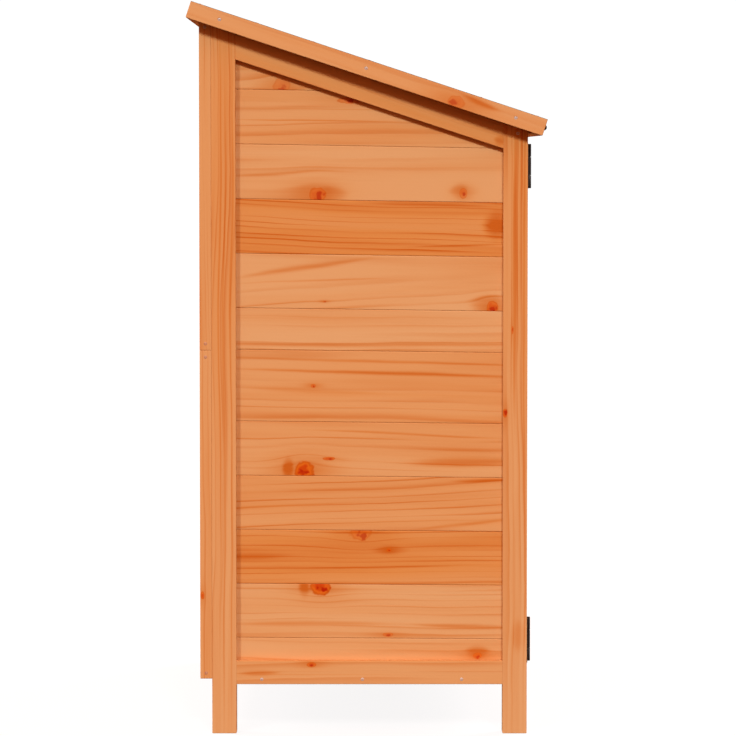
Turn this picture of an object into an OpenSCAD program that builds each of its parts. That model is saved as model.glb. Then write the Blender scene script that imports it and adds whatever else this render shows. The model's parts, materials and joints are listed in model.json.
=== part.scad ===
// Cabinet-type garden shed of softwood boards on four open feet, with a lean-to roof and a pair of front doors.
// The front faces -Y and the width runs along X. The origin is on the ground under the middle of the roof.

/* [Body] */
// Width over the outer faces of the posts
body_w = 820; // [560:10:1100]
// Depth from the front of the posts to the back of the back panels
body_d = 524; // [420:2:760]
// Height of the walls at their front face, under the roof
front_h = 965.5; // [800:0.5:1200]
// How much higher the walls are at their back face
roof_rise = 173.5; // [80:0.5:260]
// Height of the open feet, up to the underside of the rails
foot_h = 79.5; // [40:0.5:140]
// Height at which the upper back panel stands on the lower one
split_z = 616.5; // [450:0.5:740]

/* [Posts and rails] */
// Size of a post along the depth
post_d = 39; // [28:1:60]
// Size of a post along the width, which is also the thickness of the side walls
post_w = 28; // [24:1:45]
// Height of the side walls' rails
rail_h = 38; // [26:1:60]
// Height of the header over the doors, at its front face
header_h = 13.5; // [10:0.5:30]
// Height of the sill under the doors
sill_h = 28; // [27:1:45]
// Depth of the header and of the sill
cross_rail_d = 28; // [20:1:38]

/* [Boards] */
// Thickness of the boards
board_t = 10; // [7:0.5:12]
// Height of an ordinary board between its joints
board_pitch = 87; // [60:1:120]
// Height of the wide board just under the split
wide_board = 114.5; // [60:0.5:130]
// Height of the narrow board just over the split
narrow_board = 66.5; // [50:0.5:120]
// Width of the V-joint between two boards
joint_w = 2.4; // [1:0.1:4]
// How far the side boards lie behind the posts' outer faces
recess = 12; // [8:0.5:13]
// How deep the boards are let into their frames
groove_depth = 6; // [3:0.5:9]
// Play round a board in its groove
groove_fit = 0.3; // [0.1:0.1:0.8]

/* [Back panels] */
// Thickness of the back panels' frames
back_t = 19; // [15:0.5:24]
// Width of the back panels' stiles
back_stile_w = 38; // [30:1:60]
// Height of the back panels' rails
back_rail_h = 20; // [15:1:40]
// Height of the lower back panel's underside above the rails' underside
back_lift = 9; // [0:0.5:20]

/* [Floor] */
// Height of the bearers under the floor boards
bearer_h = 16; // [10:1:17]
// Width of the bearers
bearer_w = 28; // [18:1:45]
// Distance between the middles of neighbouring bearers
bearer_pitch = 160; // [100:5:200]

/* [Roof] */
// Thickness of the barge boards and of the fascias
barge_t = 15; // [10:0.5:22]
// How far the outer faces of the barge boards stand off the posts
side_eave = 30; // [22:1:60]
// How far the roof's lower edge stands in front of the posts
eave_front = 21.5; // [18:0.5:60]
// How far the roof's lower edge stands behind the back panels
eave_back = 19.5; // [18:0.5:60]
// Height of the roof battens
batten_h = 17; // [12:0.5:24]
// Width of the roof battens
batten_w = 20; // [14:1:30]
// Distance from the walls' front face to the front batten
batten_in = 15; // [8:1:40]
// Thickness of the roof covering
cover_t = 1.2; // [1:0.1:3]

/* [Doors] */
// Thickness of the doors
door_t = 19; // [15:0.5:24]
// Width of the door stiles
door_stile_w = 38; // [30:1:60]
// Height of the door rails
door_rail_h = 38; // [30:1:60]
// Gap round the doors
door_gap = 5; // [5:0.5:8]
// Gap between the two doors
meeting_gap = 6; // [6:0.5:10]
// Height of the knobs' middle above the middle of the doors
knob_lift = 30; // [-200:5:200]
// Radius of a knob's head
knob_r = 13; // [9:0.5:16]
// Length of a knob
knob_l = 17; // [15:1:28]
// Thickness of a knob's head
knob_head_t = 8; // [6:0.5:10]

/* [Hinges] */
// Height of a hinge
hinge_h = 71; // [50:1:90]
// Distance from a hinge to the near end of its door
hinge_inset = 1; // [0:1:120]
// Radius of a hinge's knuckles
knuckle_r = 3.2; // [2.3:0.1:3.5]
// Height of the middle knuckle
mid_knuckle_h = 29; // [20:1:36]
// Radius of the hinge pin
pin_r = 1.5; // [1:0.1:1.6]
// Width of a hinge leaf, from the pin
leaf_w = 24; // [15:1:26]
// Thickness of a hinge leaf
leaf_t = 1.2; // [0.8:0.1:1.6]

/* [Hidden] */

$fn = 48;
post_colour = [0.86, 0.56, 0.34];
rail_colour = [0.84, 0.53, 0.31];
board_colour = [0.90, 0.61, 0.40];
cover_colour = [0.24, 0.25, 0.26];
metal_colour = [0.12, 0.10, 0.10];

// Play between a hinge's turning parts, along the pin and round the knuckles
hinge_play = 0.5;
// How far the knuckles stand clear of the wood
knuckle_clear = 0.1;
// Running clearance of the hinge pin
pin_play = 0.05;
// Bevel on the ends of a knuckle
knuckle_bevel = 0.4;
// Gap by which the roof lies clear of the walls it rests on
roof_seat = 0.2;
// Least height of a board at the edge of a panel
least_board = 12;
// Radius and height of a knob's foot, and radius of its neck
knob_foot_r = 9;
knob_foot_h = 2;
knob_neck_r = 6;

pitch = atan(roof_rise / body_d);
roof_t = batten_h + board_t + cover_t;
roof_reach = eave_front + roof_t * sin(pitch);
front_y = (roof_reach - body_d - eave_back) / 2;
back_y = front_y + body_d;
back_inner_y = back_y - back_t;
front_post_back_y = front_y + post_d;
rear_post_front_y = back_inner_y - post_d;
half_w = body_w / 2;
inner_x = half_w - post_w;

roof_front_u = -eave_front / cos(pitch);
roof_back_u = (body_d + eave_back) / cos(pitch);
roof_len = roof_back_u - roof_front_u;
roof_half_w = half_w + side_eave;
roof_inner_x = roof_half_w - barge_t;
front_batten_u = batten_in;
rear_batten_u = (body_d - back_t) / cos(pitch) - groove_fit - batten_w;

rail_top_z = foot_h + rail_h;
sill_top_z = foot_h + sill_h;
header_z = front_h - header_h;
door_bottom_z = sill_top_z + door_gap;
door_top_z = header_z - door_gap;
door_out_x = inner_x - door_gap;
door_in_x = meeting_gap / 2;
back_bottom_z = foot_h + back_lift;
floor_z = foot_h + bearer_h;
floor_mid_y = (front_y + cross_rail_d + back_inner_y) / 2;

pin_x = inner_x - door_gap / 2;
pin_out = knuckle_r + knuckle_clear;
end_knuckle_h = (hinge_h - mid_knuckle_h) / 2;

// How far a board reaches into its frame
let_in = groove_depth - groove_fit;
back_rail_top_z = wall_top(back_inner_y) + batten_h / cos(pitch);
upper_rail_z = back_rail_top_z - 1.5 * back_rail_h;

// Heights of the joints between the wall boards, upwards and downwards from the split
seams = concat(
  [for (z = [split_z + narrow_board : board_pitch : wall_top(back_y)]) z],
  [split_z],
  [for (z = [split_z - wide_board : -board_pitch : foot_h]) z]
);

// Height of the walls' sloping top at a depth
function wall_top(y) = front_h + (y - front_y) * tan(pitch);

// Joints that leave a whole board at the top and bottom of a panel
function seams_between(low, high) = [for (z = seams) if (z > low + least_board && z < high - least_board) z];

// Draws its children on the right, or mirrored on the left
module on_side(side) {
  if (side == "left") mirror([1, 0, 0]) children();
  else children();
}

// Extrudes an outline given as depth and height along the width, from x0
module across(x0, width, outline) {
  translate([x0, 0, 0]) rotate([90, 0, 90]) linear_extrude(width) polygon(outline);
}

// Lays its children in the roof's own frame, whose Y runs up the slope and whose Z stands square to it
module in_roof() {
  translate([0, front_y, front_h + roof_seat]) rotate([pitch, 0, 0]) children();
}

// Square bar along X that cuts a V-joint of joint_w into a face
module v_cut(length) {
  rotate([45, 0, 0]) cube([length, joint_w / sqrt(2), joint_w / sqrt(2)], center = true);
}

// Space of the side boards, grown by play on every side
module side_board_space(play) {
  y0 = front_post_back_y - let_in - play;
  y1 = rear_post_front_y + let_in + play;
  drop = (rail_h - let_in - play) / cos(pitch);
  z0 = rail_top_z - let_in - play;
  across(half_w - recess - board_t - play, board_t + 2 * play,
    [[y0, z0], [y1, z0], [y1, wall_top(y1) - drop], [y0, wall_top(y0) - drop]]);
}

// Panel of level boards facing front, with a V-joint in both faces at each seam
module level_boards(x0, x1, y0, z0, z1) {
  difference() {
    translate([x0, y0, z0]) cube([x1 - x0, board_t, z1 - z0]);
    for (z = seams_between(z0, z1), face_y = [y0, y0 + board_t])
      translate([(x0 + x1) / 2, face_y, z]) v_cut(x1 - x0 + joint_w);
  }
}

// Space of boards that face front, grown by play on every side
module level_board_space(x0, x1, y0, z0, z1, play) {
  translate([x0 - play, y0 - play, z0 - play])
    cube([x1 - x0 + 2 * play, board_t + 2 * play, z1 - z0 + 2 * play]);
}

// Post from the ground to the walls' sloping top, grooved for the side boards
module post(y0) {
  y1 = y0 + post_d;
  color(post_colour) difference() {
    across(inner_x, post_w, [[y0, 0], [y1, 0], [y1, wall_top(y1)], [y0, wall_top(y0)]]);
    side_board_space(groove_fit);
  }
}

module front_post(side) {
  on_side(side) post(front_y);
}

module rear_post(side) {
  on_side(side) post(rear_post_front_y);
}

module side_bottom_rail(side) {
  on_side(side) color(rail_colour) difference() {
    translate([inner_x, front_post_back_y, foot_h])
      cube([post_w, rear_post_front_y - front_post_back_y, rail_h]);
    side_board_space(groove_fit);
  }
}

module side_top_rail(side) {
  y0 = front_post_back_y;
  y1 = rear_post_front_y;
  drop = rail_h / cos(pitch);
  on_side(side) color(rail_colour) difference() {
    across(inner_x, post_w,
      [[y0, wall_top(y0) - drop], [y1, wall_top(y1) - drop], [y1, wall_top(y1)], [y0, wall_top(y0)]]);
    side_board_space(groove_fit);
  }
}

module side_boards(side) {
  boards_d = rear_post_front_y - front_post_back_y + 2 * groove_depth;
  boards_y = (rear_post_front_y + front_post_back_y) / 2;
  on_side(side) color(board_colour) difference() {
    side_board_space(0);
    for (z = seams_between(rail_top_z, wall_top(rear_post_front_y) - rail_h),
        face_x = [half_w - recess, half_w - recess - board_t])
      translate([face_x, boards_y, z]) rotate([0, 0, 90]) v_cut(boards_d);
  }
}

// Outer and inner limits of the back panels' boards, let into the frames
back_boards_x = half_w - back_stile_w + let_in;
back_boards_y = back_inner_y + (back_t - board_t) / 2;
lower_boards_z0 = back_bottom_z + back_rail_h - let_in;
lower_boards_z1 = split_z - back_rail_h + let_in;
upper_boards_z0 = split_z + back_rail_h - let_in;
upper_boards_z1 = upper_rail_z + let_in;

module back_lower_space(play) {
  level_board_space(-back_boards_x, back_boards_x, back_boards_y, lower_boards_z0, lower_boards_z1, play);
}

module back_upper_space(play) {
  level_board_space(-back_boards_x, back_boards_x, back_boards_y, upper_boards_z0, upper_boards_z1, play);
}

module back_lower_stile(side) {
  on_side(side) color(post_colour) difference() {
    translate([half_w - back_stile_w, back_inner_y, back_bottom_z])
      cube([back_stile_w, back_t, split_z - back_bottom_z]);
    back_lower_space(groove_fit);
  }
}

module back_lower_rails() {
  color(rail_colour) difference() {
    for (z = [back_bottom_z, split_z - back_rail_h])
      translate([back_stile_w - half_w, back_inner_y, z]) cube([body_w - 2 * back_stile_w, back_t, back_rail_h]);
    back_lower_space(groove_fit);
  }
}

module back_lower_boards() {
  color(board_colour)
    level_boards(-back_boards_x, back_boards_x, back_boards_y, lower_boards_z0, lower_boards_z1);
}

// The upper panel's top follows the underside of the roof boards
back_top_rise = batten_h / cos(pitch);

module back_upper_stile(side) {
  on_side(side) color(post_colour) difference() {
    across(half_w - back_stile_w, back_stile_w, [
      [back_inner_y, split_z], [back_y, split_z],
      [back_y, wall_top(back_y) + back_top_rise], [back_inner_y, wall_top(back_inner_y) + back_top_rise]
    ]);
    back_upper_space(groove_fit);
  }
}

module back_upper_rails() {
  x0 = back_stile_w - half_w;
  width = body_w - 2 * back_stile_w;
  color(rail_colour) difference() {
    union() {
      translate([x0, back_inner_y, split_z]) cube([width, back_t, back_rail_h]);
      across(x0, width, [
        [back_inner_y, upper_rail_z], [back_y, upper_rail_z],
        [back_y, wall_top(back_y) + back_top_rise], [back_inner_y, wall_top(back_inner_y) + back_top_rise]
      ]);
    }
    back_upper_space(groove_fit);
  }
}

module back_upper_boards() {
  color(board_colour)
    level_boards(-back_boards_x, back_boards_x, back_boards_y, upper_boards_z0, upper_boards_z1);
}

// Header between the front posts, its top planed to the roof's slope
module front_header() {
  y1 = front_y + cross_rail_d;
  color(rail_colour) across(-inner_x, 2 * inner_x,
    [[front_y, header_z], [y1, header_z], [y1, wall_top(y1)], [front_y, wall_top(front_y)]]);
}

module front_sill() {
  color(rail_colour) translate([-inner_x, front_y, foot_h]) cube([2 * inner_x, cross_rail_d, sill_h]);
}

module floor_bearers() {
  color(rail_colour)
    for (i = [-1, 0, 1])
      translate([-inner_x, floor_mid_y + i * bearer_pitch - bearer_w / 2, foot_h])
        cube([2 * inner_x, bearer_w, bearer_h]);
}

// Floor boards from front to back, with a V-joint in their upper face
module floor_boards() {
  x1 = inner_x - groove_fit;
  y0 = front_y + cross_rail_d + groove_fit;
  floor_d = back_inner_y - groove_fit - y0;
  steps = floor((x1 - least_board) / board_pitch);
  color(board_colour) difference() {
    translate([-x1, y0, floor_z]) cube([2 * x1, floor_d, board_t]);
    for (i = [-steps : steps])
      translate([i * board_pitch, y0 + floor_d / 2, floor_z + board_t]) rotate([0, 0, 90]) v_cut(floor_d + joint_w);
  }
}

module roof_battens() {
  color(rail_colour) in_roof()
    for (u = [front_batten_u, (front_batten_u + rear_batten_u) / 2, rear_batten_u])
      translate([-roof_inner_x, u, 0]) cube([2 * roof_inner_x, batten_w, batten_h]);
}

// Roof boards from eave to eave, with a V-joint in their underside
module roof_boards() {
  u0 = roof_front_u + barge_t;
  boards_len = roof_len - 2 * barge_t;
  steps = floor((roof_inner_x - least_board) / board_pitch);
  color(board_colour) in_roof() difference() {
    translate([-roof_inner_x, u0, batten_h]) cube([2 * roof_inner_x, boards_len, board_t]);
    for (i = [-steps : steps])
      translate([i * board_pitch, u0 + boards_len / 2, batten_h]) rotate([0, 0, 90]) v_cut(boards_len + joint_w);
  }
}

module roof_covering() {
  color(cover_colour) in_roof()
    translate([-roof_half_w, roof_front_u, batten_h + board_t]) cube([2 * roof_half_w, roof_len, cover_t]);
}

module fascia(u) {
  color(rail_colour) in_roof()
    translate([-roof_inner_x, u, 0]) cube([2 * roof_inner_x, barge_t, batten_h + board_t]);
}

module front_fascia() {
  fascia(roof_front_u);
}

module rear_fascia() {
  fascia(roof_back_u - barge_t);
}

module barge_board(side) {
  on_side(side) color(rail_colour) in_roof()
    translate([roof_inner_x, roof_front_u, 0]) cube([barge_t, roof_len, batten_h + board_t]);
}

// Limits of a door's boards, let into its stiles and rails
door_boards_x0 = door_in_x + door_stile_w - let_in;
door_boards_x1 = door_out_x - door_stile_w + let_in;
door_boards_y = front_y + (door_t - board_t) / 2;
door_boards_z0 = door_bottom_z + door_rail_h - let_in;
door_boards_z1 = door_top_z - door_rail_h + let_in;

module door_board_space(play) {
  level_board_space(door_boards_x0, door_boards_x1, door_boards_y, door_boards_z0, door_boards_z1, play);
}

module door_stile(x0) {
  color(post_colour) difference() {
    translate([x0, front_y, door_bottom_z]) cube([door_stile_w, door_t, door_top_z - door_bottom_z]);
    door_board_space(groove_fit);
  }
}

module door_hinge_stile(side) {
  on_side(side) door_stile(door_out_x - door_stile_w);
}

module door_meeting_stile(side) {
  on_side(side) door_stile(door_in_x);
}

module door_rails(side) {
  x0 = door_in_x + door_stile_w;
  on_side(side) color(rail_colour) difference() {
    for (z = [door_bottom_z, door_top_z - door_rail_h])
      translate([x0, front_y, z]) cube([door_out_x - door_stile_w - x0, door_t, door_rail_h]);
    door_board_space(groove_fit);
  }
}

module door_boards(side) {
  on_side(side) color(board_colour)
    level_boards(door_boards_x0, door_boards_x1, door_boards_y, door_boards_z0, door_boards_z1);
}

// Turned knob: a foot, a neck and a flat head with a round rim
module door_knob(side) {
  on_side(side) color(metal_colour)
    translate([door_in_x + door_stile_w / 2, front_y, (door_bottom_z + door_top_z) / 2 + knob_lift])
      rotate([90, 0, 0]) rotate_extrude() {
        square([knob_foot_r, knob_foot_h]);
        square([knob_neck_r, knob_l - knob_head_t / 2]);
        intersection() {
          translate([0, knob_l - knob_head_t / 2]) circle(r = knob_r);
          translate([0, knob_l - knob_head_t]) square([knob_r, knob_head_t]);
        }
      }
}

// Solid of one knuckle from z = 0, with bevelled ends
module knuckle(height) {
  r = knuckle_r;
  b = knuckle_bevel;
  rotate_extrude() polygon([[0, 0], [r - b, 0], [r, b], [r, height - b], [r - b, height], [0, height]]);
}

// Leaf plate from the pin outwards along X, flat on the wood, without its knuckles
module leaf_plate() {
  translate([0, pin_out - leaf_t, 0]) cube([leaf_w, leaf_t, hinge_h]);
}

// Room that one leaf leaves for a knuckle of the other
module knuckle_room(z, height) {
  side = 2 * (knuckle_r + hinge_play);
  translate([-side / 2, -side / 2, z - hinge_play]) cube([side, side, height + 2 * hinge_play]);
}

// Leaf on the post, with the two end knuckles and the pin
module post_leaf() {
  difference() {
    union() {
      leaf_plate();
      knuckle(end_knuckle_h);
      translate([0, 0, hinge_h - end_knuckle_h]) knuckle(end_knuckle_h);
    }
    knuckle_room(end_knuckle_h, mid_knuckle_h);
  }
  cylinder(r = pin_r, h = hinge_h);
}

// Leaf on the door, with the middle knuckle bored for the pin
module door_leaf() {
  difference() {
    union() {
      difference() {
        mirror([1, 0, 0]) leaf_plate();
        knuckle_room(-hinge_play, end_knuckle_h);
        knuckle_room(hinge_h - end_knuckle_h, end_knuckle_h + hinge_play);
      }
      translate([0, 0, end_knuckle_h]) knuckle(mid_knuckle_h);
    }
    cylinder(r = pin_r + pin_play, h = hinge_h);
  }
}

// Places a hinge part at the door's foot and at its head
module at_hinges(side) {
  on_side(side) color(metal_colour)
    for (z = [door_bottom_z + hinge_inset, door_top_z - hinge_inset - hinge_h])
      translate([pin_x, front_y - pin_out, z]) children();
}

module hinge_post_leaves(side) {
  at_hinges(side) post_leaf();
}

module hinge_door_leaves(side) {
  at_hinges(side) door_leaf();
}

front_post("left");  // front_post_left
front_post("right");  // front_post_right
rear_post("left");  // rear_post_left
rear_post("right");  // rear_post_right
side_bottom_rail("left");  // side_bottom_rail_left
side_bottom_rail("right");  // side_bottom_rail_right
side_top_rail("left");  // side_top_rail_left
side_top_rail("right");  // side_top_rail_right
side_boards("left");  // side_boards_left
side_boards("right");  // side_boards_right
back_lower_stile("left");  // back_lower_stile_left
back_lower_stile("right");  // back_lower_stile_right
back_lower_rails();
back_lower_boards();
back_upper_stile("left");  // back_upper_stile_left
back_upper_stile("right");  // back_upper_stile_right
back_upper_rails();
back_upper_boards();
front_header();
front_sill();
floor_bearers();
floor_boards();
roof_battens();
roof_boards();
roof_covering();
front_fascia();
rear_fascia();
barge_board("left");  // barge_board_left
barge_board("right");  // barge_board_right
door_hinge_stile("left");  // door_hinge_stile_left
door_hinge_stile("right");  // door_hinge_stile_right
door_meeting_stile("left");  // door_meeting_stile_left
door_meeting_stile("right");  // door_meeting_stile_right
door_rails("left");  // door_rails_left
door_rails("right");  // door_rails_right
door_boards("left");  // door_boards_left
door_boards("right");  // door_boards_right
door_knob("left");  // door_knob_left
door_knob("right");  // door_knob_right
hinge_post_leaves("left");  // hinge_post_leaves_left
hinge_post_leaves("right");  // hinge_post_leaves_right
hinge_door_leaves("left");  // hinge_door_leaves_left
hinge_door_leaves("right");  // hinge_door_leaves_right
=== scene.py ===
"""Looks of the wooden garden shed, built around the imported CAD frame.

Lengths are in metres. The shed's front faces -Y. Its left side, at -X, is the one that the
photograph shows.
"""
import json
import math
import random
from functools import reduce

import bmesh
import bpy
from mathutils import Matrix, Vector

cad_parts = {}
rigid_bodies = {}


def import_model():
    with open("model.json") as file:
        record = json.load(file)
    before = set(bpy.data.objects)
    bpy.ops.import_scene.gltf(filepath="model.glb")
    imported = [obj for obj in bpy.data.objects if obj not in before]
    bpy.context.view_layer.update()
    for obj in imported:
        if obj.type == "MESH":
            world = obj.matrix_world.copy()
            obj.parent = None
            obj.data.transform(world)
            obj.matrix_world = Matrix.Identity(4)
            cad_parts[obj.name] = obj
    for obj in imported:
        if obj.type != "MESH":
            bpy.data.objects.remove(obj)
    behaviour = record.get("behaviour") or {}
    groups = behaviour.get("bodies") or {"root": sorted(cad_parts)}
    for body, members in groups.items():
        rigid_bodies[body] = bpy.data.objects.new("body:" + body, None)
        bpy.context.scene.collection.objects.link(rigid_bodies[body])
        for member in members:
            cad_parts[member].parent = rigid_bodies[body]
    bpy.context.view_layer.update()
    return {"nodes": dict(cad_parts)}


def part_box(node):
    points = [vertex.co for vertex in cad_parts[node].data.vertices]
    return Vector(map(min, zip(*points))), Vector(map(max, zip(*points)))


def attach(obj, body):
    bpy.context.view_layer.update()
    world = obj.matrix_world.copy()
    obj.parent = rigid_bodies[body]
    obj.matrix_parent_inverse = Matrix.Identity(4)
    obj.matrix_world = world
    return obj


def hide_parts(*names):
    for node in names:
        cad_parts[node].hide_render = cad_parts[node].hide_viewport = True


for leftover in list(bpy.data.objects):
    bpy.data.objects.remove(leftover)
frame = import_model()

MM = 0.001
ALONG_X, ALONG_Y, ALONG_Z = Vector((1, 0, 0)), Vector((0, 1, 0)), Vector((0, 0, 1))
SIDES = {"left": -1, "right": 1}

# Colours as the photograph shows them in the light, in sRGB of 0 to 255
PALE_WOOD = (230, 158, 104)
ORANGE_WOOD = (225, 133, 66)
PALE_GRAIN = (216, 122, 56)
ORANGE_GRAIN = (206, 92, 22)
SOAKED_WOOD = (150, 80, 36)
KNOT_BODY = (226, 94, 8)
KNOT_RIM = (198, 80, 8)
KNOT_HEART = (206, 56, 2)
KNOT_CORE = (182, 26, 0)
BLACK_PAINT = (36, 30, 28)
PALER_BLACK = (92, 86, 84)
PAINT_MOTTLE = (24, 20, 20)
PAINT_WEAR = (70, 58, 52)
SCREW_ZINC = (226, 216, 212)
STAINED_SCREW = (216, 160, 132)
SCREW_STAIN = 0.78
FELT_DARK = (44, 54, 58)
FELT_LIGHT = (90, 106, 112)
FELT_BARE = (34, 36, 37)

# How much light the near wall sends back for each part of its surface colour
WALL_LIGHT = (1.068, 0.757, 0.663)

# Lights, as the direction that their rays travel in, their energy and their spread in degrees
LIGHTS = {
    "left_key_light": ((1.0, -0.573, -0.78), 1.14, 8),
    "right_key_light": ((1.0, 0.16, -0.58), 1.25, 8),
    "fill_light": ((-0.55, 0.75, -0.45), 2.2, 25),
    "back_light": ((-0.4, -1.0, -0.5), 1.3, 25),
}
LIGHT_FROM_ABOVE, LIGHT_FROM_BELOW = 0.98, 0.18
WARM_SURROUND = (1.0, 0.33, 0.13, 1)
NEUTRAL_GLOSS = 0.2
BACKGROUND_STRENGTH = 1.05
FLOOR_ALBEDO, FLOOR_GLOW = 0.10, 0.90
FLOOR_HALF_SIZE = 60.0

SEEDS = {
    "members": 7, "heads": 19, "felt": 23, "right_wall": 31, "left_door": 49, "right_door": 51,
    "back_lower": 61, "back_upper": 67, "floor": 71, "roof": 79,
}

# Wall boards, from the joint between the two back panels upwards and downwards
SPLIT_TO_UPPER_SEAM = 0.0665
SPLIT_TO_LOWER_SEAM = 0.1145
SEAMS_EACH_WAY = 6
SEAM_DROP = 0.0018
BOARD_PITCH = 0.087
LEAST_BOARD = 0.012
V_JOINT = 0.0011
SEAM_GAP = 0.0002
TONGUE = 0.004
TONGUE_START, TONGUE_END = 0.36, 0.64

EDGE_RADIUS = 0.0009
ROUND_STEP = 0.3
BUMP_DEPTH = 0.00025

# Screws, nails and the holes that some of them sit in
SCREW_RADIUS = 0.0026
CAP_RADIUS = 0.0043
CLOUT_RADIUS = 0.0036
NAIL_RADIUS = 0.0014
HOLE_RADIUS = 0.0029
HOLE_DEPTH = 0.0012
SCREW_IN_HOLE = 0.0007
HINGE_SCREW_SPACING = 0.023
HINGE_SCREW_RADIUS = 0.0032
HINGE_HEIGHT = 0.071
LEAF_THICKNESS = 0.0012
BEARER_WIDTH = 0.028

# Felt: thickness at its edge, width of the border where it thins, and its clout nails
FELT_EDGE = 0.0003
FELT_RAMP = 0.11
FELT_NAIL_INSET, FELT_NAIL_PITCH = 0.016, 0.09

CAMERA_DISTANCE = 5.5
CAMERA_Y = -0.0017
CAMERA_HEIGHT = 0.9304
CAMERA_TILT = 3.009
CAMERA_LENS = 168.67
CAMERA_SHIFT = -0.045


def extent(node, direction):
    """How far a CAD node reaches along a direction, as its lowest and highest value."""
    values = [v.co.dot(direction) for v in frame["nodes"][node].data.vertices]
    return min(values), max(values)


FRONT_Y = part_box("front_post_left")[0].y
FRONT_POST_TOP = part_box("front_post_left")[1]
REAR_POST_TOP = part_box("rear_post_left")[1]
PITCH = math.atan2(REAR_POST_TOP.z - FRONT_POST_TOP.z, REAR_POST_TOP.y - FRONT_POST_TOP.y)
UP_SLOPE = Vector((0, math.cos(PITCH), math.sin(PITCH)))
OFF_SLOPE = Vector((0, -math.sin(PITCH), math.cos(PITCH)))
SPLIT_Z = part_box("back_lower_rails")[1].z
POST_FACE_X = -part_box("rear_post_left")[0].x
BARGE_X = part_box("barge_board_left")[0].x
HINGE_FACE_Y = FRONT_Y - LEAF_THICKNESS + 0.0001


# Shader nodes

def linear(colour):
    """An sRGB colour of 0 to 255 as linear light."""
    shares = (v / 255 for v in colour)
    return tuple(c / 12.92 if c <= 0.04045 else ((c + 0.055) / 1.055) ** 2.4 for c in shares)


def opaque(colour):
    """An sRGB colour of 0 to 255 as a shader colour."""
    return linear(colour) + (1,)


def stained(colour):
    """The surface colour that looks like an sRGB colour in the light that falls on the wall."""
    return tuple(c / light for c, light in zip(linear(colour), WALL_LIGHT)) + (1,)


class Graph:
    """Adds shader nodes to a node tree. A value may be a socket, a number or a tuple."""

    def __init__(self, tree):
        self.tree = tree

    def feed(self, socket, value):
        if isinstance(value, bpy.types.NodeSocket):
            self.tree.links.new(value, socket)
        elif value is not None:
            socket.default_value = value

    def add(self, kind, *values, **settings):
        node = self.tree.nodes.new(kind)
        for name, value in settings.items():
            setattr(node, name, value)
        for socket, value in zip(node.inputs, values):
            self.feed(socket, value)
        return node

    def math(self, operation, *values):
        return self.add("ShaderNodeMath", *values, operation=operation).outputs[0]

    def total(self, *values):
        return reduce(lambda a, b: self.math("ADD", a, b), values)

    def product(self, *values):
        return reduce(lambda a, b: self.math("MULTIPLY", a, b), values)

    def less(self, a, b):
        return self.math("SUBTRACT", a, b)

    def share(self, a, b, least=0.0005):
        """a divided by b, or by some least value where b is smaller."""
        return self.math("DIVIDE", a, self.math("MAXIMUM", b, least))

    def vector(self, operation, *values):
        node = self.add("ShaderNodeVectorMath", *values, operation=operation)
        return node.outputs["Value" if operation == "DOT_PRODUCT" else "Vector"]

    def joined(self, x, y, z):
        return self.add("ShaderNodeCombineXYZ", x, y, z).outputs[0]

    def parts(self, vector):
        return self.add("ShaderNodeSeparateXYZ", vector).outputs[:3]

    def noise(self, place, seed, scale=1, detail=2):
        node = self.add("ShaderNodeTexNoise", place, seed, noise_dimensions="4D")
        self.feed(node.inputs["Scale"], scale)
        self.feed(node.inputs["Detail"], detail)
        return node.outputs[0]

    def centred_noise(self, place, seed, size, detail=2):
        """Noise around 0 that reaches about size to each side."""
        return self.product(self.less(self.noise(place, seed, detail=detail), 0.5), 2 * size)

    def smooth(self, value, low, high, start=0.0, end=1.0):
        node = self.add("ShaderNodeMapRange", value, low, high, start, end, interpolation_type="SMOOTHSTEP")
        return node.outputs[0]

    def radius(self, x, y):
        return self.math("SQRT", self.total(self.product(x, x), self.product(y, y)))

    def bell(self, x, y):
        """1 at the middle, falling off smoothly with distance."""
        square = self.total(self.product(x, x), self.product(y, y))
        return self.math("EXPONENT", self.product(square, -1))

    def blend(self, factor, a, b):
        node = self.add("ShaderNodeMix", data_type="RGBA", clamp_factor=True)
        self.feed(node.inputs[0], factor)
        self.feed(node.inputs[6], a)
        self.feed(node.inputs[7], b)
        return node.outputs[2]

    def bump(self, shader, height, strength, depth):
        """Roughens a shader's surface by a height."""
        node = self.add("ShaderNodeBump")
        node.inputs["Strength"].default_value = strength
        node.inputs["Distance"].default_value = depth
        self.feed(node.inputs["Height"], height)
        self.feed(shader.inputs["Normal"], node.outputs[0])


# Each board or member has room for three knots and three streaks
SLOTS = (1, 2, 3)
MARK_INPUTS = [f"{part} {i}" for part in ("Knot", "Streak", "Streak form") for i in SLOTS]
MARK_INPUTS += ["Knot heights", "Knot strengths"]
BOARD_INPUTS = ["Place", "Pith", "Growth", "Look"] + MARK_INPUTS
BOARD_ATTRIBUTES = {name: name.lower().replace(" ", "_") for name in BOARD_INPUTS}
BOARD_ATTRIBUTES["Place"] = "grain_place"
PINE_INPUTS = [(name, "Vector") for name in BOARD_INPUTS] + [("End grain", "Float"), ("Tone rise", "Float")]
PINE_OUTPUTS = (("Color", "Color"), ("Roughness", "Float"), ("Height", "Float"))

# How finely the noises are laid along, across and into the wood
WIDE_WARP = (2.2, 6, 6)
FINE_WARP = (11, 34, 34)
STREAK_GRAIN = (2.5, 45, 45)
FIBRES = (9, 420, 420)
KNOT_RAGGEDNESS = 110


def streak_shape(g, length, across, streak, form):
    """How dark a long soft streak makes the grain, with pointed ends."""
    middle, height, half_length = g.parts(streak)
    half_height, slope, strength = g.parts(form)
    along = g.less(length, middle)
    off = g.total(across, g.product(height, -1), g.product(slope, along, -1))
    x = g.share(along, half_length, 0.001)
    x_square = g.product(x, x)
    y = g.share(off, half_height)
    return g.product(g.bell(x_square, g.product(y, g.total(1, g.product(x_square, 0.7)))), strength)


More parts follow.
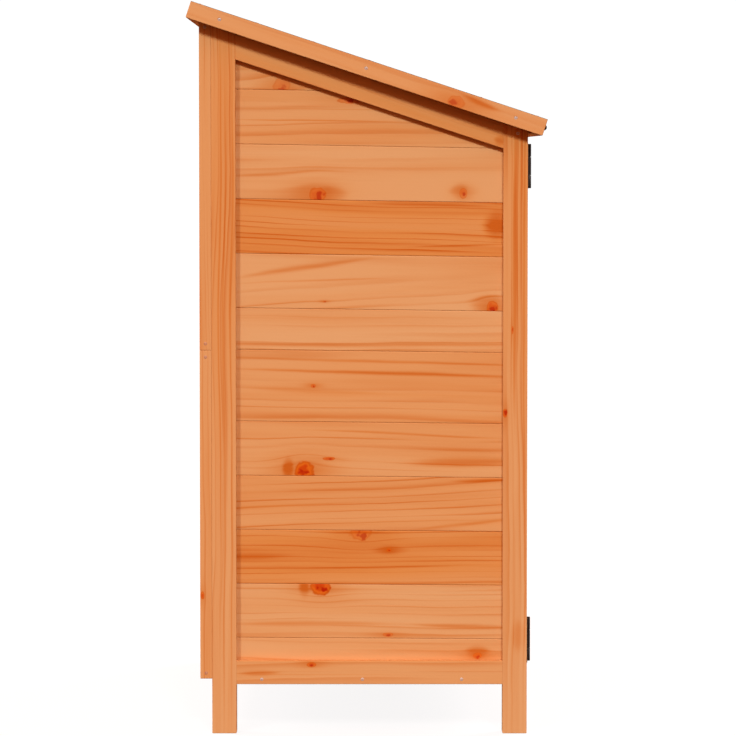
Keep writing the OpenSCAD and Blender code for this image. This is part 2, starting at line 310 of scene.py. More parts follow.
def knot_shape(g, length, across, knot, height, strength, ragged):
    """How strongly a knot pushes the grain aside, and where its body, rim, heart, core and halo lie."""
    knot_length, knot_across, half_length = g.parts(knot)
    there = g.math("GREATER_THAN", height, 0.0002)
    off_across = g.less(across, knot_across)
    x = g.share(g.less(length, knot_length), half_length)
    y = g.share(off_across, height)
    distance = g.total(g.radius(x, y), g.product(ragged, 0.3))
    roundness = g.math("MINIMUM", g.share(height, half_length), 1)
    spread = g.product(g.bell(g.product(x, 0.32), g.product(y, 0.5)), there)
    push = g.product(spread, off_across, roundness, -0.85)
    body = g.product(g.smooth(distance, 1.12, 0.88), there, strength)
    rim = g.product(body, g.smooth(distance, 0.74, 0.96))
    heart_distance = g.total(distance, g.product(ragged, 0.4))
    heart = g.product(g.smooth(heart_distance, 0.84, 0.42), there, strength, strength)
    core_distance = g.total(g.radius(g.less(x, 0.15), g.total(y, 0.25)), g.product(ragged, 1.2))
    core = g.product(g.smooth(core_distance, 0.58, 0.1), there, g.math("SQRT", strength))
    halo = g.product(g.bell(g.product(x, 0.3), g.product(y, 0.6)), there, roundness)
    return push, body, rim, heart, core, halo


def pine_group():
    """Stained pine: growth rings round a pith, fine fibres, and up to three knots and streaks."""
    tree = bpy.data.node_groups.new("pine", "ShaderNodeTree")
    for way, sockets in (("INPUT", PINE_INPUTS), ("OUTPUT", PINE_OUTPUTS)):
        for name, kind in sockets:
            tree.interface.new_socket(name=name, in_out=way, socket_type="NodeSocket" + kind)
    g = Graph(tree)
    given = g.add("NodeGroupInput").outputs
    length, across, depth = g.parts(given["Place"])
    pith_across, pith_depth, ring = g.parts(given["Pith"])
    rise, taper, strength = g.parts(given["Growth"])
    tone, seed, fibre_strength = g.parts(given["Look"])
    heights = g.parts(given["Knot heights"])
    strengths = g.parts(given["Knot strengths"])

    def stretched(scales):
        return g.joined(*(g.product(part, scale) for part, scale in zip((length, across, depth), scales)))

    ragged = g.centred_noise(g.vector("SCALE", given["Place"], None, None, KNOT_RAGGEDNESS), seed, 1, 1)
    shapes = [
        knot_shape(g, length, across, given[f"Knot {i}"], heights[i - 1], strengths[i - 1], ragged)
        for i in SLOTS
    ]
    push = g.total(*(s[0] for s in shapes))
    body, rim, heart, core = (
        g.math("MAXIMUM", g.math("MAXIMUM", shapes[0][i], shapes[1][i]), shapes[2][i]) for i in (1, 2, 3, 4)
    )
    halo = g.math("MINIMUM", g.total(*(s[5] for s in shapes)), 1)

    wide = g.centred_noise(stretched(WIDE_WARP), seed, 0.014, 1)
    warp = g.total(wide, g.centred_noise(stretched(FINE_WARP), seed, 0.002, 2))
    ring_across = g.total(across, push, g.product(rise, length, -1), g.product(pith_across, -1), warp)
    radius = g.total(g.radius(ring_across, g.less(depth, pith_depth)), g.product(taper, length))
    phase = g.math("DIVIDE", radius, ring)
    phase = g.total(phase, g.centred_noise(g.joined(g.product(phase, 0.8), 0, 0), seed, 0.7, 0))
    part = g.math("FRACT", phase)
    number = g.math("FLOOR", phase)
    ring_noise = g.noise(g.joined(g.product(length, 3.2), g.product(number, 5.3), 0), seed, detail=1)
    other_noise = g.noise(g.joined(g.product(length, 1.3), g.product(number, 3.7), 4), seed, detail=0)
    late = g.product(
        g.math("POWER", g.smooth(part, g.smooth(other_noise, 0.35, 0.65, 0.1, 0.7), 0.9), 1.5),
        g.smooth(part, 1.0, 0.88), g.smooth(ring_noise, 0.34, 0.66, 0.12, 1.1),
    )

    streak = g.centred_noise(stretched(STREAK_GRAIN), seed, 1, 2)
    fibre = g.centred_noise(stretched(FIBRES), seed, 1, 1)
    band = g.centred_noise(g.joined(g.product(length, 1.6), g.product(radius, 42), 0), seed, 1, 2)
    warped = g.total(across, g.product(warp, 0.6), push)
    streaks = g.total(*(
        streak_shape(g, length, warped, given[f"Streak {i}"], given[f"Streak form {i}"]) for i in SLOTS
    ))
    streaks = g.product(streaks, g.total(1, g.product(streak, 0.6)))

    tone_rise = g.product(given["Tone rise"], length)
    darkness = g.total(
        g.product(late, strength, g.total(1, tone_rise)), g.product(streak, 0.32),
        g.product(fibre, fibre_strength), streaks,
        g.product(band, strength, 0.7), g.product(halo, 0.5), g.product(given["End grain"], 0.5),
    )
    darkness = g.math("MINIMUM", g.math("MAXIMUM", darkness, 0), 1)
    shade = g.total(tone, tone_rise, g.product(band, 0.55), g.product(halo, 0.5), g.product(streaks, 0.9))
    light_wood = g.blend(shade, stained(PALE_WOOD), stained(ORANGE_WOOD))
    grain = g.blend(shade, stained(PALE_GRAIN), stained(ORANGE_GRAIN))
    colour = g.blend(darkness, light_wood, grain)
    for cover, share, wood in (
        (given["End grain"], 0.4, SOAKED_WOOD), (body, 0.92, KNOT_BODY), (rim, 0.75, KNOT_RIM),
        (heart, 0.8, KNOT_HEART), (core, 0.9, KNOT_CORE),
    ):
        colour = g.blend(g.product(cover, share), colour, stained(wood))
    roughness = g.total(0.6, g.product(darkness, -0.08), g.product(fibre, 0.05), g.product(body, -0.1))
    relief = g.total(g.product(late, 0.5), g.product(fibre, 0.35), g.product(body, 0.6))
    g.add("NodeGroupOutput", colour, roughness, relief)
    return tree


PINE = pine_group()


def new_material(name):
    material = bpy.data.materials.new(name)
    material.use_nodes = True
    return material, Graph(material.node_tree), material.node_tree.nodes["Principled BSDF"]


def feed_pine(g, shader, values):
    """Links a pine group with those values to a material's shader."""
    group = g.add("ShaderNodeGroup")
    group.node_tree = PINE
    for name, value in values.items():
        socket = next(s for s in group.inputs if s.name == name)
        g.feed(socket, value)
    outputs = {s.name: s for s in group.outputs}
    g.bump(shader, outputs["Height"], 0.6, BUMP_DEPTH)
    g.feed(shader.inputs["Base Color"], outputs["Color"])
    g.feed(shader.inputs["Roughness"], outputs["Roughness"])
    shader.inputs["Specular IOR Level"].default_value = 0.07


def marks(knots, streaks, place_of, slope=0.0):
    """The pine's inputs for knots and streaks. place_of turns a mark's place into length and height."""
    values = {name: (0.0, 0.0, 0.0) for name in MARK_INPUTS}
    heights, strengths = [0.0] * len(SLOTS), [0.0] * len(SLOTS)
    for i, (*where, half_length, half_height, strength) in enumerate(knots):
        values[f"Knot {i + 1}"] = (*place_of(*where), half_length)
        heights[i] = half_height
        strengths[i] = strength
    for i, (*where, half_length, half_height, rise, strength) in enumerate(streaks):
        values[f"Streak {i + 1}"] = (*place_of(*where), half_length)
        values[f"Streak form {i + 1}"] = (half_height, rise - slope, strength)
    values["Knot heights"] = tuple(heights)
    values["Knot strengths"] = tuple(strengths)
    return values


def board_pine():
    """Pine that reads where its boards lie and what they look like from the mesh."""
    material, g, shader = new_material("board_pine")
    values = {}
    for name, attribute in BOARD_ATTRIBUTES.items():
        node = g.add("ShaderNodeAttribute", attribute_name=attribute)
        values[name] = node.outputs["Vector"]
    feed_pine(g, shader, values)
    return material


def member_pine(name, along, across, centre, pith, growth, look, tone_rise, knots, streaks):
    """Pine for one CAD member, whose grain runs along one direction."""
    material, g, shader = new_material(name)
    coordinates = g.add("ShaderNodeTexCoord").outputs
    depth = along.cross(across)
    place = g.joined(*(
        g.less(g.vector("DOT_PRODUCT", coordinates["Object"], tuple(axis)), centre.dot(axis))
        for axis in (along, across, depth)
    ))
    facing = g.math("ABSOLUTE", g.vector("DOT_PRODUCT", coordinates["Normal"], tuple(along)))
    soaked = g.smooth(facing, 0.75, 0.95)
    values = {
        "Place": place, "Pith": pith, "Growth": growth, "Look": look,
        "Tone rise": tone_rise, "End grain": soaked,
    }

    def from_centre(where):
        offset = Vector(where) - centre
        return offset.dot(along), offset.dot(across)

    feed_pine(g, shader, values | marks(knots, streaks, from_centre))
    return material


def black_paint(name, colour):
    """Black paint on steel, slightly uneven, thinner and browner in places."""
    material, g, shader = new_material(name)
    place = g.add("ShaderNodeTexCoord").outputs["Object"]
    mottle = g.noise(place, 1.0, 260, 3)
    wear = g.smooth(g.noise(place, 2.0, 900, 2), 0.62, 0.8)
    paint = g.blend(mottle, opaque(colour), opaque(PAINT_MOTTLE))
    g.feed(shader.inputs["Base Color"], g.blend(g.product(wear, 0.5), paint, opaque(PAINT_WEAR)))
    g.feed(shader.inputs["Roughness"], g.total(0.38, g.product(mottle, 0.16)))
    g.bump(shader, mottle, 0.35, 0.0001)
    return material


def zinc(name, colour, metallic):
    """Zinc-plated screw steel with fine turning marks and faint stains."""
    material, g, shader = new_material(name)
    place = g.add("ShaderNodeTexCoord").outputs["Object"]
    stain = g.noise(place, 3.0, 700, 2)
    scratches = g.noise(g.vector("MULTIPLY", place, (400, 6000, 6000)), 4.0, 1, 1)
    stained_colour = tuple(SCREW_STAIN * v for v in colour)
    g.feed(shader.inputs["Base Color"], g.blend(stain, opaque(colour), opaque(stained_colour)))
    g.feed(shader.inputs["Roughness"], g.total(0.4, g.product(scratches, 0.2)))
    shader.inputs["Metallic"].default_value = metallic
    return material


def felt():
    """Mineral roofing felt: dark bitumen under a dense sprinkle of grey granules."""
    material, g, shader = new_material("felt")
    place = g.add("ShaderNodeTexCoord").outputs["Object"]
    grains = g.add("ShaderNodeTexVoronoi", place)
    grains.inputs["Scale"].default_value = 750
    grain_tone = g.parts(grains.outputs["Color"])[0]
    patches = g.noise(place, 5.0, 9, 3)
    bare = g.smooth(g.noise(place, 6.0, 420, 2), 0.58, 0.7)
    sprinkle = g.total(g.product(grain_tone, 0.75), g.product(patches, 0.3))
    stone = g.blend(sprinkle, opaque(FELT_DARK), opaque(FELT_LIGHT))
    g.feed(shader.inputs["Base Color"], g.blend(g.product(bare, 0.7), stone, opaque(FELT_BARE)))
    g.feed(shader.inputs["Roughness"], g.total(0.86, g.product(grain_tone, 0.1)))
    g.bump(shader, g.less(1, grains.outputs["Distance"]), 0.8, 0.0006)
    return material


BOARD_PINE = board_pine()
BLACK_PAINTED = black_paint("black_paint", BLACK_PAINT)
BLACK_SCREW = black_paint("black_screw", PALER_BLACK)
ZINC = zinc("zinc", SCREW_ZINC, 0.3)
STAINED_ZINC = zinc("stained_zinc", STAINED_SCREW, 0.15)
FELT = felt()


# Posts, rails, stiles and roof timbers keep their CAD solids, with softened edges

draws = random.Random(SEEDS["members"])


def soften(node):
    """Rounds a CAD node's edges a little, as planed and sanded wood has them."""
    piece = frame["nodes"][node]
    weld = piece.modifiers.new("weld", "WELD")
    weld.merge_threshold = 1e-6
    bevel = piece.modifiers.new("bevel", "BEVEL")
    bevel.width = EDGE_RADIUS
    bevel.segments = 2
    bevel.limit_method = "ANGLE"
    bevel.angle_limit = math.radians(40)


def finish_node(node, material):
    for slot in frame["nodes"][node].material_slots:
        slot.material = material


# Words in a member's name, with the directions along and across its grain
GRAIN_OF = (
    (("post", "stile"), ALONG_Z, ALONG_Y),
    (("side_bottom_rail",), ALONG_Y, ALONG_Z),
    (("side_top_rail", "barge_board"), UP_SLOPE, OFF_SLOPE),
    (("fascia", "battens"), ALONG_X, OFF_SLOPE),
    (("header", "sill", "bearers", "rails"), ALONG_X, ALONG_Z),
)


def seen(y, z, side_x=-POST_FACE_X):
    """A place on the left side, from its depth and height in millimetres."""
    return (side_x, y * MM, z * MM)


# Knots as place, half length, half height and strength
MEMBER_KNOTS = {
    "front_post_left": (
        (seen(-232.5, 648.8), 0.006, 0.0018, 0.6), (seen(-221.0, 516.0), 0.007, 0.0036, 0.8),
    ),
    "barge_board_left": ((seen(-141.0, 1012.0, BARGE_X), 0.0135, 0.0100, 0.38),),
    "side_bottom_rail_left": ((seen(89.3, 111.2), 0.0075, 0.0042, 0.75),),
    "back_lower_stile_left": ((seen(263.6, 223.2), 0.006, 0.0032, 0.8),),
}
# Streaks as place, half length, half height, rise and strength
MEMBER_STREAKS = {
    "front_post_left": (
        (seen(-236.0, 760.0), 0.230, 0.0035, 0.0, 0.75), (seen(-251.5, 600.0), 0.480, 0.0022, 0.0, 0.5),
        (seen(-241.5, 158.0), 0.024, 0.0100, 0.0, 0.3),
    ),
    "rear_post_left": (
        (seen(235.5, 700.0), 0.420, 0.0016, 0.0, 0.5), (seen(228.4, 520.0), 0.500, 0.0018, 0.0, 0.45),
        (seen(216.5, 600.0), 0.500, 0.0020, 0.0, 0.5),
    ),
    "barge_board_left": ((seen(-180.0, 1009.0, BARGE_X), 0.030, 0.0045, 0.0, 0.55),),
    "side_top_rail_left": ((seen(-212.0, 950.0), 0.009, 0.006, 0.0, 0.8),),
    "side_bottom_rail_left": (
        (seen(172.0, 95.0), 0.030, 0.0035, 0.0, 0.5), (seen(60.0, 92.0), 0.120, 0.0012, 0.0, 0.3),
    ),
}
# Grain as pith across, pith deep and ring width, as rise, taper and strength, and as tone, seed and fibres
MEMBER_GRAIN = {
    "front_post_left": ((0.024, 0.034, 0.0072), (0.003, 0.001, 0.72), (0.37, 3.1, 0.14)),
    "rear_post_left": ((-0.030, 0.030, 0.0078), (-0.003, 0.004, 0.6), (0.44, 9.4, 0.14)),
    "back_lower_stile_left": ((0.030, 0.022, 0.0070), (0.002, 0.002, 0.55), (0.40, 5.2, 0.12)),
    "back_upper_stile_left": ((-0.034, 0.026, 0.0066), (0.001, 0.001, 0.55), (0.42, 6.8, 0.12)),
    "barge_board_left": ((0.060, 0.050, 0.0130), (0.002, 0.003, 0.30), (0.34, 2.7, 0.10)),
    "side_bottom_rail_left": ((-0.040, 0.030, 0.0085), (-0.006, 0.004, 0.50), (0.42, 7.7, 0.12)),
    "side_top_rail_left": ((0.045, 0.040, 0.0110), (0.003, 0.002, 0.40), (0.80, 4.4, 0.12)),
}
# How much oranger a post gets for each metre upwards
TONE_RISE = {"front_post_left": 0.95, "rear_post_left": 0.55}


def drawn_grain():
    """Pith, growth and look of a member that the photograph doesn't show."""
    pith = (draws.uniform(-0.05, 0.05), draws.uniform(0.02, 0.06), draws.uniform(0.005, 0.011))
    growth = (draws.uniform(-0.006, 0.006), draws.uniform(-0.004, 0.004), draws.uniform(0.5, 0.9))
    look = (draws.uniform(0.15, 0.6), draws.uniform(0, 60), 0.1)
    return pith, growth, look


def dress_members():
    for name in sorted(frame["nodes"]):
        for words, along, across in GRAIN_OF:
            if any(word in name for word in words):
                low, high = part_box(name)
                grain = MEMBER_GRAIN.get(name) or drawn_grain()
                finish_node(name, member_pine(
                    name + "_pine", along, across, (low + high) / 2, *grain, TONE_RISE.get(name, 0.0),
                    MEMBER_KNOTS.get(name, ()), MEMBER_STREAKS.get(name, ()),
                ))
                soften(name)
                break


dress_members()
for node in frame["nodes"]:
    if "hinge_post" in node or "hinge_door" in node or "knob" in node:
        finish_node(node, BLACK_PAINTED)


# Pieces that scene.py makes

def linked(name, data):
    """A new object in the scene."""
    thing = bpy.data.objects.new(name, data)
    bpy.context.scene.collection.objects.link(thing)
    return thing


def add_piece(name, mesh, material, body):
    mesh.materials.append(material)
    piece = linked(name, mesh)
    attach(piece, body)
    return piece


def mesh_of(name, bm):
    mesh = bpy.data.meshes.new(name)
    bm.to_mesh(mesh)
    bm.free()
    return mesh


def loop_of(bm, points):
    return [bm.verts.new(p) for p in points]


def join_loops(bm, a, b):
    """Joins two closed loops of as many points with a band of faces."""
    for i in range(len(a)):
        bm.faces.new((a[i], a[(i + 1) % len(a)], b[(i + 1) % len(b)], b[i]))


# Boards

class Boards:
    """Collects boards of one panel as mesh data, with the values that their pine reads."""

    def __init__(self):
        self.points, self.faces, self.places = [], [], []
        self.values = {name: [] for name in BOARD_INPUTS if name != "Place"}

    def take(self, bm, place_of, values_of):
        start = len(self.points)
        bm.verts.index_update()
        for vertex in bm.verts:
            self.points.append(tuple(vertex.co))
            self.places.append(place_of(vertex.co))
        for face in bm.faces:
            self.faces.append([start + v.index for v in face.verts])
            for name, value in values_of(face.calc_center_median()).items():
                self.values[name].append(value)

    def piece(self, name, body, node):
        mesh = bpy.data.meshes.new(name)
        mesh.from_pydata(self.points, [], self.faces)
        place = mesh.attributes.new("grain_place", "FLOAT_VECTOR", "POINT")
        place.data.foreach_set("vector", [c for point in self.places for c in point])
        for key, rows in self.values.items():
            attribute = mesh.attributes.new(BOARD_ATTRIBUTES[key], "FLOAT_VECTOR", "FACE")
            attribute.data.foreach_set("vector", [c for row in rows for c in row])
        piece = add_piece(name, mesh, BOARD_PINE, body)
        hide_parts(node)


def board_outline(thickness, lower_seam, upper_seam):
    """Outline of a board of width 1 as (across, depth).

    Its corners are cut for the V-joints. Where it has a seam, it has a tongue above and a groove below.
    """
    low = SEAM_GAP / 2 if lower_seam else 0.0
    high = 1.0 - (SEAM_GAP / 2 if upper_seam else 0.0)
    c = V_JOINT
    r = ROUND_STEP * c
    near, far = TONGUE_START * thickness, TONGUE_END * thickness
    outline = [(low + c, 0), (high - c, 0), (high - r, r), (high, c)]
    if upper_seam:
        outline += [(high, near), (high + TONGUE, near), (high + TONGUE, far), (high, far)]
    outline += [(high, thickness - c), (high - r, thickness - r), (high - c, thickness)]
    outline += [(low + c, thickness), (low + r, thickness - r), (low, thickness - c)]
    if lower_seam:
        play = SEAM_GAP
        depth = low + TONGUE + 2 * play
        outline += [(low, far + play), (depth, far + play), (depth, near - play), (low, near - play)]
    return outline + [(low, c), (low + r, r)]


def knot_windows(knots, start, end):
    """Stretches of a board, each with the three knots that matter there."""
    knots = sorted(knots)
    if len(knots) <= len(SLOTS):
        return [(start, end, knots)]
    cuts = [start] + [(a[0] + b[0]) / 2 for a, b in zip(knots, knots[1:])] + [end]
    windows = []
    for i in range(len(knots)):
        first = min(max(i - 1, 0), len(knots) - len(SLOTS))
        windows.append((cuts[i], cuts[i + 1], knots[first:first + len(SLOTS)]))
    return windows


def cut_above(bm, place, normal):
    """Cuts off what lies above a plane, and closes the cut."""
    everything = bm.verts[:] + bm.edges[:] + bm.faces[:]
    cut = bmesh.ops.bisect_plane(bm, geom=everything, plane_co=place, plane_no=normal, clear_outer=True)
    open_edges = [e for e in cut["geom_cut"] if isinstance(e, bmesh.types.BMEdge) and e.is_boundary]
    if open_edges:
        bmesh.ops.holes_fill(bm, edges=open_edges)


def lay_board(boards, axes, face, outline, span, edges, slopes, look, top_plane):
    """Adds the board that lies between two edges, each with its slope."""
    along, across, outward = axes
    start, end = span
    middle = (start + end) / 2
    centre, slope = sum(edges) / 2, sum(slopes) / 2

    def from_middle(station, height):
        length = station - middle
        return length, height - centre - slope * length

    windows = knot_windows(look["knots"], start, end)
    grain = {key: look[key] for key in ("Pith", "Growth", "Look")}
    rows = [grain | marks(knots, look["streaks"], from_middle, slope) for _, _, knots in windows]
    bm = bmesh.new()
    rings = []
    for station in [window[0] for window in windows] + [end]:
        bottom, top = (edge + rise * (station - middle) for edge, rise in zip(edges, slopes))
        places = [(bottom + a if a < 0.5 else top - (1.0 - a), face - d) for a, d in outline]
        rings.append(loop_of(bm, [along * station + across * a + outward * out for a, out in places]))
    for a, b in zip(rings, rings[1:]):
        join_loops(bm, a, b)
    bm.faces.new(rings[0])
    bm.faces.new(list(reversed(rings[-1])))
    if top_plane:
        cut_above(bm, *top_plane)
    if bm.faces:
        bmesh.ops.recalc_face_normals(bm, faces=bm.faces[:])

        def place_of(co):
            return (*from_middle(co.dot(along), co.dot(across)), face - co.dot(outward))

        def values_of(co):
            station = co.dot(along)
            return next((row for window, row in zip(windows, rows) if station <= window[1]), rows[-1])

        boards.take(bm, place_of, values_of)
    bm.free()


def panel(name, node, body, axes, seams, looks, tilt=None, top_plane=None):
    """Replaces a CAD panel with boards. The axes run along the boards, across them and outward."""
    along, across, outward = axes
    span = extent(node, along)
    low, high = extent(node, across)
    back, face = extent(node, outward)
    inner_seams = [s for s in seams if low + LEAST_BOARD < s < high - LEAST_BOARD]
    edges = [low] + inner_seams + [high]
    slopes = [0.0] + [tilt(s) if tilt else 0.0 for s in inner_seams] + [0.0]
    boards = Boards()
    last = len(inner_seams)
    for i in range(last + 1):
        look = looks(i, edges[i], edges[i + 1])
        outline = board_outline(face - back, i > 0, i < last)
        lay_board(boards, axes, face, outline, span, edges[i:i + 2], slopes[i:i + 2], look, top_plane)
    boards.piece(name, body, node)


def wall_seams():
    """Heights of the joints between the wall boards."""
    upper = [SPLIT_Z + SPLIT_TO_UPPER_SEAM + i * BOARD_PITCH for i in range(SEAMS_EACH_WAY)]
    lower = [SPLIT_Z - SPLIT_TO_LOWER_SEAM - i * BOARD_PITCH for i in range(SEAMS_EACH_WAY)]
    return [z - SEAM_DROP for z in sorted(lower + [SPLIT_Z] + upper)]


WALL_SEAMS = wall_seams()
CROSSWISE_SEAMS = [i * BOARD_PITCH for i in range(-4, 5)]
BOARD_FIBRES = 0.13

# Boards of the left wall from the bottom up: tone, strength of the grain, pith across and deep, ring width,
# rise and taper
LEFT_WALL_BOARDS = (
    (0.12, 0.50, -0.055, 0.045, 0.0120, -0.006, 0.004),
    (0.20, 0.62, -0.075, 0.030, 0.0095, -0.004, 0.002),
    (0.85, 0.78, 0.070, 0.028, 0.0085, 0.000, 0.002),
    (0.50, 0.80, 0.075, 0.030, 0.0115, 0.040, 0.010),
    (0.34, 0.75, 0.060, 0.045, 0.0150, -0.016, 0.006),
    (0.44, 0.60, 0.050, 0.040, 0.0140, -0.024, 0.010),
    (0.14, 0.58, -0.060, 0.030, 0.0125, 0.004, 0.002),
    (0.16, 0.60, 0.020, 0.050, 0.0140, 0.050, 0.020),
    (0.95, 0.95, -0.070, 0.030, 0.0080, -0.022, 0.004),
    (0.22, 0.45, -0.030, 0.050, 0.0130, 0.030, 0.010),
    (0.40, 0.50, 0.050, 0.050, 0.0150, 0.010, 0.004),
    (0.34, 0.60, 0.040, 0.045, 0.0120, -0.010, 0.004),
)

# Knots of the left wall in millimetres: depth, height, half their length, half their height, and strength
LEFT_WALL_KNOTS = (
    (135.7, 1038, 13, 12, 0.35), (28.0, 1015, 18, 5, 0.6),
    (79.0, 864, 13, 13, 0.6), (-154.0, 867, 6, 9, 0.5),
    (-200.5, 685, 9, 10, 0.7), (68.0, 694, 2.6, 1.6, 0.2),
    (86.0, 559, 4.5, 3.2, 0.6),
    (100.5, 424, 15, 15, 1.0), (60.5, 442, 10, 3.0, 0.8),
    (10.0, 322, 17, 12, 0.45), (-35.0, 294.5, 4.0, 3.0, 0.7),
    (75.0, 234, 15.5, 13, 1.0),
    (-34.0, 158, 9, 3.5, 0.5),
    (-178.0, 124, 7, 5, 0.5),
)

# Streaks of the left wall in millimetres: depth, height, half their length, half their height, and their
# rise per metre and strength
LEFT_WALL_STREAKS = (
    (92.0, 984.0, 120, 1.2, -0.028, 0.5), (-30.0, 1000.0, 150, 1.2, -0.020, 0.3),
    (52.0, 866.0, 20, 7, 0.0, 0.3), (130.0, 898.0, 90, 3.0, 0.02, 0.35), (-146.0, 868.0, 14, 6, 0.0, 0.3),
    (-101.0, 848.5, 95, 2.4, -0.040, 0.8), (-208.0, 814.0, 20, 16, 0.0, 1.5),
    (-150.0, 783.0, 75, 1.5, 0.03, 0.6),
    (106.0, 747.0, 95, 5.0, 0.160, 0.5), (88.0, 727.0, 110, 1.8, 0.044, 0.35),
    (-192.0, 691.0, 26, 10, 0.0, 0.4),
    (-3.5, 623.5, 270, 3.2, -0.006, 0.5),
    (-20.0, 599.0, 230, 2.4, -0.030, 0.45), (-30.0, 580.5, 215, 3.2, -0.036, 0.65),
    (90.0, 553.0, 110, 4.0, -0.05, 0.25),
    (-53.0, 483.5, 150, 2.0, -0.040, 0.45), (-160.0, 438.0, 85, 9.0, 0.02, 0.5),
    (127.0, 426.5, 8.5, 8.0, 0.0, 0.6),
    (-186.0, 407.0, 45, 3.2, 0.0, 0.4), (-160.0, 338.0, 70, 3.0, 0.12, 0.4),
    (190.0, 364.0, 150, 1.8, 0.05, 0.35),
    (-25.0, 266.5, 120, 1.6, 0.01, 0.8), (200.0, 284.5, 75, 5.0, 0.01, 0.65),
    (-36.0, 297.0, 26, 6.0, -0.06, 0.5),
    (101.0, 234.0, 8.5, 9.0, 0.0, 0.6), (100.0, 174.5, 130, 4.5, -0.01, 0.45),
    (-165.0, 169.0, 85, 4.0, -0.04, 0.55),
    (-178.0, 130.0, 18, 7.0, 0.0, 0.5),
)

# The side walls' seams rise towards the back, by a share that grows with their height
SEAM_RISE, SEAM_RISE_PER_METRE, SEAM_RISE_HEIGHT = 0.0062, 0.0135, 0.154


def side_wall_tilt(height):
    """How a side wall's seam slopes along its boards, which run towards the front."""
    return -(SEAM_RISE + SEAM_RISE_PER_METRE * (height - SEAM_RISE_HEIGHT))


def marks_between(rows, low, high):
    """The knots or streaks between two heights, in metres and measured towards the front."""
    return [(-y * MM, z * MM, a * MM, b * MM, *rest) for y, z, a, b, *rest in rows if low < z * MM < high]


def left_wall_look(i, low, high):
    row = LEFT_WALL_BOARDS[min(i, len(LEFT_WALL_BOARDS) - 1)]
    tone, strength, pith_across, pith_depth, ring, rise, taper = row
    return {
        "Pith": (pith_across, pith_depth, ring), "Growth": (rise, taper, strength),
        "Look": (tone, 11.3 + 4.1 * i, BOARD_FIBRES),
        "knots": marks_between(LEFT_WALL_KNOTS, low, high),
        "streaks": marks_between(LEFT_WALL_STREAKS, low, high),
    }


def drawn_boards(seed, span_start, span_end):
    """Looks for boards that the photograph doesn't show, with a few knots each."""
    board_draws = random.Random(seed)
    uniform, choice = board_draws.uniform, board_draws.choice

    def look(_, low, high):
        knots = []
        for _ in range(choice((0, 0, 1, 1, 2))):
            size = uniform(0.003, 0.011)
            knots.append((
                uniform(span_start, span_end), uniform(low + 0.01, high - 0.01),
                size * uniform(1.0, 1.5), size, uniform(0.4, 1.0),
            ))
        return {
            "Pith": (uniform(-0.08, 0.08), uniform(0.02, 0.05), uniform(0.007, 0.014)),
            "Growth": (uniform(-0.03, 0.03), uniform(0, 0.01), uniform(0.35, 0.85)),
            "Look": (choice((0.1, 0.15, 0.25, 0.4, 0.5, 0.9)), uniform(0, 90), BOARD_FIBRES),
            "knots": knots,
            "streaks": [(
                uniform(span_start, span_end), uniform(low, high), uniform(0.04, 0.2),
                uniform(0.0015, 0.005), uniform(-0.04, 0.04), uniform(0.3, 0.7),
            ) for _ in range(choice((0, 1, 2)))],
        }

    return look


def side_wall(side):
    node = f"side_boards_{side}"
    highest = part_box(node)[1]
    if side == "left":
        looks = left_wall_look
    else:
        looks = drawn_boards(SEEDS["right_wall"], -highest.y, highest.y)
    axes = (-ALONG_Y, ALONG_Z, ALONG_X * SIDES[side])
    top_plane = (highest, OFF_SLOPE)
    panel(f"wall_boards_{side}", node, "cabinet", axes, WALL_SEAMS, looks, side_wall_tilt, top_plane)


def drawn_panel(name, node, body, axes, seams, seed):
    """A panel whose boards the photograph doesn't show."""
    panel(name, node, body, axes, seams, drawn_boards(seed, *extent(node, axes[0])))


for side in SIDES:
    side_wall(side)
    drawn_panel(f"door_panel_{side}", f"door_boards_{side}", f"{side}_door",
                (ALONG_X, ALONG_Z, -ALONG_Y), WALL_SEAMS, SEEDS[f"{side}_door"])
for level in ("lower", "upper"):
    drawn_panel(f"back_panel_{level}", f"back_{level}_boards", "cabinet",
                (ALONG_X, ALONG_Z, ALONG_Y), WALL_SEAMS, SEEDS[f"back_{level}"])
drawn_panel("floor_deck", "floor_boards", "cabinet",
            (ALONG_Y, ALONG_X, ALONG_Z), CROSSWISE_SEAMS, SEEDS["floor"])
drawn_panel("roof_deck", "roof_boards", "cabinet",
            (UP_SLOPE, ALONG_X, -OFF_SLOPE), CROSSWISE_SEAMS, SEEDS["roof"])


# Barge boards with countersunk holes for their screws

# The barge boards' screws in millimetres, as depth and height
BARGE_SCREWS = ((233.2, 1142.4), (1.2, 1065.4), (-235.9, 986.8))


def circle(centre_s, centre_n, x, radius, count=20):
    turns = [2 * math.pi * i / count for i in range(count)]
    return [(centre_s + radius * math.cos(t), centre_n + radius * math.sin(t), x) for t in turns]


def cut_rectangle(s, n, x, inset, c):
    """Rectangle with corners cut by c, as points along the slope, off the slope and along X."""
    (s0, s1), (n0, n1) = ((low + inset, high - inset) for low, high in (s, n))
    flat = [
        (s0 + c, n0), (s1 - c, n0), (s1, n0 + c), (s1, n1 - c),
        (s1 - c, n1), (s0 + c, n1), (s0, n1 - c), (s0, n0 + c),
    ]
    return [(a, b, x) for a, b in flat]


def barge_screw_places():
    """Along the slope, over each roof batten, at the middle of the barge board's height."""
    low, high = extent("barge_board_left", OFF_SLOPE)
    return [(Vector((0, y * MM, z * MM)).dot(UP_SLOPE), (low + high) / 2) for y, z in BARGE_SCREWS]


